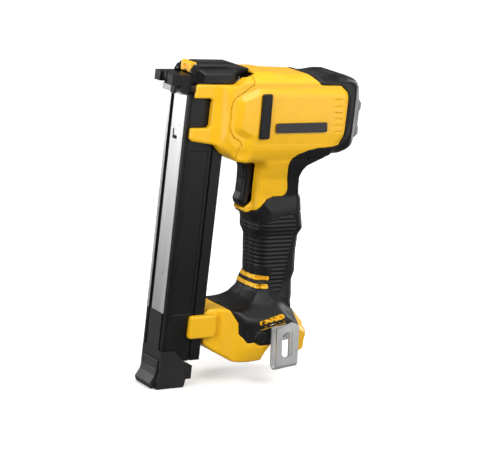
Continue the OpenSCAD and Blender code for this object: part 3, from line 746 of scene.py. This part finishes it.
seam_line = [(86.4, 30), (86.4, 6.2), (84.5, 4), (76.5, -1.3), (66.5, -7.6), (62.8, -12),
             (61.8, -18.6), (62, -35), (63.2, -41.5), (68, -47.6), (76.5, -52.3), (78.6, -55),
             (75.6, -64), (72, -90)]
# Half width and depth of the seam between the nose shell and the motor shell
SEAM_HALF = 0.45
SEAM_DEPTH = 0.7
# Louvres in the side panel: number, height of the first, spacing, and how each is set back
VENTS = 6
FIRST_VENT = -11.4
VENT_STEP = 6.6
VENT_SHIFT = 0.7
VENT_DEPTH = 2.6
# Distance from a seam or edge within which the housing's mesh is finer, and where it never is
FINE_REACH = 1.6
FINE_DEPTH = -1.9
NOT_FINE = 9


def vent_scoops(x, y, z):
    """Louvres in the side panel, each deepest at its upper rear edge."""
    d = np.full(np.broadcast(x, y, z).shape, FAR)
    for i in range(VENTS):
        middle = FIRST_VENT - VENT_STEP * i
        across = np.abs(z - middle) - 2.0
        along = np.abs(x - 188.6 - VENT_SHIFT * i) - 5.6
        upward = np.clip((z - middle + 2) / 4, 0, 1)
        rearward = np.clip((x - 183 - VENT_SHIFT * i) / 4, 0, 1)
        floor_at = 37.6 - VENT_DEPTH * upward * rearward
        d = np.minimum(d, np.maximum(np.maximum(across, along), floor_at - np.abs(y)))
    return d


def seam_groove(x, y, z):
    """The fine line between the nose shell and the motor shell."""
    return np.maximum(polyline(seam_line, x, z) - SEAM_HALF, -SEAM_DEPTH - whole(x, y, z))


def housing_form():
    """The left half shell, hollow behind the nose, with its accents."""
    housing = cut(1.2, whole, grown(grip_zone, 0.25))
    housing = cut(1.2, housing, grown(cap_zone, 0.2))
    housing = cut(0.8, housing, grown(cover_zone, 0.2), magazine_room)
    hollow = grown(join(3, motor, neck), -WALL)
    hollow = meet(0, hollow, lambda x, y, z: 80 - x)
    housing = cut(0.5, housing, hollow, trigger_room, bay, nose_room, bay_arch, vent_scoops)
    housing = meet(0.4, housing, left_half)
    return join(0, cut(0.0, housing, seam_groove), accents_form())


def housing_fine(x, y, z):
    """Where the housing's mesh is finer: along its seams and edges."""
    near = np.minimum(polyline(seam_line, x, z), np.abs(grip_zone(x, y, z)))
    near = np.minimum(near, np.abs(cap_inner(x, z)))
    near = np.minimum(near, np.abs(cover_zone(x, y, z)))
    near = np.minimum(near, np.where(z > -60, np.abs(panel_edge(x, z)) + 0.4, NOT_FINE))
    near = np.minimum(near, vent_scoops(x, y, z))
    near = np.minimum(near, accent_place(x, y, z))
    near = np.where(whole(x, y, z) < FINE_DEPTH, NOT_FINE, near)
    return near - FINE_REACH


housing_left = housing_form()
for half, mirror in (("left", False), ("right", True)):
    build("housing_shell_" + half, housing_left, (23, -39, -286), (204, 0, 19), 1.1, "tool",
          "yellow_shell", ["housing_" + half], housing_fine, mirror)

# ---------------------------------------------------------------- end cap

cap_inset = flat([(185, 30), (186, 5), (207, 5), (208, 30)], 2)
# Half width and depth of the recess in the top of the end cap
INSET_HALF = 15
INSET_DEPTH = 1.3


def inset_zone(x, y, z):
    """The recess in the top of the end cap."""
    sides = np.maximum(cap_inset(x, z), np.abs(y) - INSET_HALF)
    return np.maximum(sides, -INSET_DEPTH - motor(x, y, z))


def cap_form():
    """The black cap round the rear of the motor, a hollow shell that stands proud of the housing."""
    cap = meet(1.0, grown(motor_and_neck, 0.3), cap_zone)
    cap = cut(0.6, cap, grown(motor_and_neck, -WALL))
    return cut(0.5, cap, inset_zone)


build("end_cap_shell", cap_form(), (142, -39, -70), (232, 39, 17), 1.1, "tool", "black_shell",
      ["rear_cap"])

# ---------------------------------------------------------------- soft grip

# Spacing of the ribs down the handle and of the dimples round its front
RIB_STEP = 4.3
DIMPLE_STEP = 4.4
RIB_DEPTH = 0.62
DIMPLE_DEPTH = 0.7
GROOVE_DEPTH = 0.7
STRAP_DEPTH = 1.1
rib_area = flat([(90, -139), (118.6, -139), (136, -139.5), (142, -138), (147.5, -132.6), (162, -132),
                 (166.5, -137), (170, -150), (165, -168), (162.6, -192), (160.5, -213), (157, -216.5),
                 (90, -216)], 2)
strap_line = [(171, -60), (166, -70.5), (162.5, -75), (160.6, -84), (161.6, -100), (165.4, -120),
              (168, -124), (173, -129.5), (190, -140)]


def rib_depth(x, y, z):
    """How deep the pattern cuts into the grip: ribs down its sides, dimples at its front, and grooves."""
    inside = np.clip(-rib_area(x, z) / 1.2, 0, 1)
    front_band = np.clip((129 - x) / 3.0, 0, 1)
    above_rings = np.clip((z + 188.5) / 1.5, 0, 1)
    behind_rings = np.clip((x - 143) / 2, 0, 1)
    off_rings = np.maximum(above_rings, behind_rings)
    wave = 0.5 + 0.5 * np.cos(2 * math.pi * z / RIB_STEP)
    dots = wave * (0.5 + 0.5 * np.cos(2 * math.pi * (np.abs(y) - 2) / DIMPLE_STEP))
    pattern = RIB_DEPTH * wave * (1 - front_band) * off_rings
    pattern = pattern + DIMPLE_DEPTH * dots ** 2 * front_band * above_rings
    groove = GROOVE_DEPTH * np.clip(1.3 - np.abs(rib_area(x, z)) / 0.7, 0, 1) * (x > 130) * off_rings
    strap = STRAP_DEPTH * np.clip(1.5 - polyline(strap_line, x, z) / 0.6, 0, 1) * (z < -69)
    return pattern * inside + np.maximum(groove, strap)


def grip_form():
    """The left half of the soft grip, with the round boss on the side of the foot."""
    grip = meet(1.0, grown(lower, 0.35), grip_zone)
    foot_boss = meet(1.0, round_bar(125.5, -256, 6.6), wide(39.4))
    grip = join(1.5, grip, foot_boss)
    grip = cut(0.5, grip, lambda x, y, z: -71.2 - z, grown(lower, -2.6), trigger_room, bay, bay_arch)
    grip = cut(0.25, grip, grown(accent_place, 0.12))
    return meet(0.4, grip, left_half)


plain_grip = grip_form()


def ribbed_grip(x, y, z):
    """The grip with its pattern, which is cut only near the outer surface."""
    return plain_grip(x, y, z) + np.where(lower(x, y, z) > -1.2, rib_depth(x, y, z), 0)


def grip_fine(x, y, z):
    """Where the grip's mesh is finer: along its edge, over its pattern and round the accents."""
    near = np.minimum(np.abs(grip_zone(x, y, z)) - FINE_REACH, rib_area(x, z) - 1.5)
    near = np.minimum(near, np.minimum(accent_place(x, y, z) - 1.2, polyline(strap_line, x, z) - 1.8))
    return np.where(lower(x, y, z) < -1.4, NOT_FINE, near)


for half, mirror in (("left", False), ("right", True)):
    build("soft_grip_" + half, ribbed_grip, (70, -40, -268), (206, 0, -62), 1.0, "tool", "soft_grip",
          ["grip_" + half], grip_fine, mirror)

# ---------------------------------------------------------------- nose cover


def lobe_form():
    """The low, wide part of the cover, with a slot along each side of its top."""
    lobe = meet(
        1.0,
        side([(22, 3.6), (22, 12.5), (27, 17.6), (68, 18.4), (75.5, 13), (79, 8.6), (75, 5.5),
              (69, 3.6)], 1.2),
        front([(0, 3.6), (22.5, 3.6), (22.5, 12.6), (19.4, 17.4), (16, 18.6), (0, 18.6)], 1.2),
        plan([(22, 17), (33, 22.2), (38, 22.5), (67, 22.5), (79, 15)], 1.0),
    )
    slots = meet(0, twin(box(31, 80, 9, 12.2, 14.6, 30)), outside(box(0, 90, -9.6, 9.6, 0, 30)))
    return cut(0.6, lobe, slots)


def ridge_form():
    """The raised middle of the cover, behind the latch."""
    ridge = meet(
        1.2,
        side([(24, 5), (24.5, 17), (31, 23), (72, 22.6), (93, 17.2), (92, 14), (70, 5)], 2),
        front([(0, 5), (10.6, 5), (10.6, 19.2), (8.2, 23.4), (0, 23.4)], 1.0),
    )
    return cut(0.6, ridge, box(0, 32.4, -60, 60, 0, 60))


def cover_form():
    """The black cover over the drive at the nose, with the horns that hold the latch."""
    horns = meet(1.4, twin(box(22.4, 31, 9.7, 14.5, 5, 21)),
                 side([(22, 4), (22, 14), (27.5, 21.2), (32, 21.2), (32, 4)], 3))
    latch_room = box(10, 32.4, -9.6, 9.6, 0, 30)
    trip_room = box(10, 42.5, -16.6, 16.6, 0, 12.2)
    high_room = box(30, 84, -8, 8, 0, 19)
    low_room = box(30, 76, -14.6, 14.6, 0, 12.2)
    cover = join(0.8, lobe_form(), ridge_form(), horns)
    return cut(0.5, cover, latch_room, trip_room, high_room, low_room)


build("nose_cover_shell", cover_form(), (21, -23, 3), (93, 23, 24), 0.7, "tool", "black_shell",
      ["top_cover"])

# ---------------------------------------------------------------- trigger, side bars and magazine edge


def trigger_form():
    """The trigger, hollow behind, with the bore of its pin."""
    lever = meet(
        4.0,
        side([(102.6, -63.4), (102.6, -73.6), (97.4, -75.3), (100.8, -79.6), (103.2, -86),
              (104.1, -97), (103.9, -111.5), (101.4, -118.5), (104, -123.8), (109, -125.8),
              (113, -123.8), (114.3, -112), (114.3, -84), (112.5, -74), (112.5, -63.4)], 4.0),
        wide(8.3),
    )
    hollow = meet(0.5, side([(108, -86), (108, -119), (120, -118), (120, -86)]), wide(6.4))
    return cut(0.4, lever, hollow, round_bar(107.5, -67.5, 2.1))


build("trigger_lever", trigger_form(), (96, -9, -127), (115, 9, -62), 0.7, "trigger", "black_shell",
      ["trigger"])

# Distance of the rubber bars from the middle plane, and half their thickness
BAR_AT = 37.2
BAR_HALF = 2.0


def side_bar(half, sign):
    """The black rubber bar at the front of a side panel."""
    def slab(x, y, z):
        return np.abs(sign * y - BAR_AT) - BAR_HALF
    bar = meet(1.1, side([(94.2, -3.6), (105.4, -3), (107.3, -48.6), (95.4, -49)], 2.6), slab)
    build("side_bar_" + half, bar, (92, sign * BAR_AT - 3, -51), (108, sign * BAR_AT + 3, -1), 0.6,
          "tool", "bumper_rubber", ["bumper_" + half])


side_bar("left", -1)
side_bar("right", 1)


def edge_strip():
    """The thin steel liner along the magazine's right front edge, seen beside the rail."""
    low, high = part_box("magazine_body")
    front_x, outer_y, top_z = low.x / MM, high.y / MM, high.z / MM
    bottom_z = -231
    strip = meet(0.15, box(front_x - 0.35, front_x + 0.4, outer_y - 3.4, outer_y - 0.15, bottom_z,
                           top_z - 0.3), wide(60))
    build("magazine_edge_strip", strip, (front_x - 1, outer_y - 4, bottom_z - 1),
          (front_x + 1, outer_y + 0.5, top_z), 0.5, "tool", "bright_steel")


edge_strip()

# ---------------------------------------------------------------- camera

AZIMUTH = math.radians(-36.3)
ELEVATION = math.radians(13.15)
ROLL = math.radians(6.7)
# Distance to the target in metres, and the lens and sensor width in millimetres
DISTANCE = 2.121
LENS = 149.76
SENSOR = 36
TARGET = Vector((0.1239, 0, -0.1470))


def add_camera():
    """The camera at the photograph's viewing angle, turned a little about its own line of sight."""
    level = math.cos(ELEVATION)
    back = Vector((math.sin(AZIMUTH) * level, -math.cos(AZIMUTH) * level, math.sin(ELEVATION)))
    right = Vector((math.cos(AZIMUTH), math.sin(AZIMUTH), 0))
    up = back.cross(right)
    right_rolled = math.cos(ROLL) * right + math.sin(ROLL) * up
    up_rolled = math.cos(ROLL) * up - math.sin(ROLL) * right
    place = TARGET + back * DISTANCE
    camera = bpy.data.objects.new("camera", bpy.data.cameras.new("camera"))
    bpy.context.scene.collection.objects.link(camera)
    camera.data.sensor_width = SENSOR
    camera.data.lens = LENS
    turned = Matrix((right_rolled, up_rolled, back)).transposed()
    camera.matrix_world = Matrix.Translation(place) @ turned.to_4x4()
    camera.data.clip_start = 0.1
    camera.data.clip_end = 50
    bpy.context.scene.camera = camera


add_camera()

# ---------------------------------------------------------------- light


def lamp(name, place, size, power, aim=(0.12, 0, -0.12)):
    """A soft rectangular lamp, its size in metres and its power in watts."""
    data = bpy.data.lights.new(name, "AREA")
    data.shape = "RECTANGLE"
    data.size, data.size_y = size
    data.energy = power
    obj = bpy.data.objects.new(name, data)
    bpy.context.scene.collection.objects.link(obj)
    obj.location = place
    obj.rotation_euler = (Vector(aim) - Vector(place)).to_track_quat("-Z", "Y").to_euler()


def add_studio_light():
    """A faint even light from all round, and the display's plain colours."""
    world = bpy.data.worlds.new("studio")
    bpy.context.scene.world = world
    world.use_nodes = True
    sky = world.node_tree.nodes["Background"]
    sky.inputs["Color"].default_value = (1, 1, 1, 1)
    sky.inputs["Strength"].default_value = 0.22
    bpy.context.scene.view_settings.view_transform = "Standard"


lamp("key", (0.45, -1.1, 0.8), (0.7, 0.7), 12.5)
lamp("card", (0.85, -0.9, -0.02), (0.45, 0.6), 2.2, (0.15, 0, -0.2))
lamp("top", (-0.1, 0.1, 1.2), (0.8, 0.8), 9.5)
lamp("strip", (-0.68, -0.34, 0.0), (0.34, 0.64), 4.2, (0.12, 0, -0.1))
lamp("side", (-0.62, 0.9, 0.08), (0.5, 0.55), 2.5, (0.03, 0, -0.05))
lamp("side_low", (-0.85, 0.6, -0.03), (0.25, 0.58), 3.0, (0.12, 0, -0.1))
lamp("rim", (1.25, 0.25, 0.25), (0.3, 1.4), 7)
add_studio_light()

# ---------------------------------------------------------------- floor and backdrop

# Distances from the tool, in metres, between which the floor's own light rises, and its strengths there
GLOW_FROM = 0.3
GLOW_TO = 2.5
GLOW_NEAR = 0.3
GLOW_FAR = 1.0
# Gap under the tool, in metres
FLOOR_GAP = 0.0005


def glowing_white(name, grey, roughness):
    """A pale surface that gives off white light of its own."""
    white = bpy.data.materials.new(name)
    white.use_nodes = True
    shader = white.node_tree.nodes["Principled BSDF"]
    shader.inputs["Base Color"].default_value = (grey, grey, grey, 1)
    shader.inputs["Roughness"].default_value = roughness
    shader.inputs["Emission Color"].default_value = (1, 1, 1, 1)
    return white, shader


def glow_with_distance(white, shader):
    """Makes the surface's own light rise with the distance from the tool."""
    nodes, links = white.node_tree.nodes, white.node_tree.links
    place = nodes.new("ShaderNodeTexCoord")
    reach = nodes.new("ShaderNodeVectorMath")
    reach.operation = "LENGTH"
    glow = nodes.new("ShaderNodeMapRange")
    glow.inputs["From Min"].default_value = GLOW_FROM
    glow.inputs["From Max"].default_value = GLOW_TO
    glow.inputs["To Min"].default_value = GLOW_NEAR
    glow.inputs["To Max"].default_value = GLOW_FAR
    links.new(place.outputs["Object"], reach.inputs[0])
    links.new(reach.outputs["Value"], glow.inputs["Value"])
    links.new(glow.outputs["Result"], shader.inputs["Emission Strength"])


def set_stage(name, material_made):
    """Names the plane that was just added, and keeps its light off the tool."""
    plane = bpy.context.object
    plane.name = name
    plane.data.materials.append(material_made)
    plane.visible_glossy = False
    plane.visible_diffuse = False


bpy.ops.mesh.primitive_plane_add(size=30, location=(0, 0, cad_low.z - FLOOR_GAP))
floor_white, floor_shader = glowing_white("floor_white", 0.92, 0.8)
glow_with_distance(floor_white, floor_shader)
set_stage("floor", floor_white)

bpy.ops.mesh.primitive_plane_add(size=24, location=(3, 6, 4), rotation=(math.radians(90), 0, AZIMUTH))
backdrop_white, backdrop_shader = glowing_white("backdrop_white", 0.9, 0.9)
backdrop_shader.inputs["Emission Strength"].default_value = GLOW_FAR
set_stage("backdrop", backdrop_white)
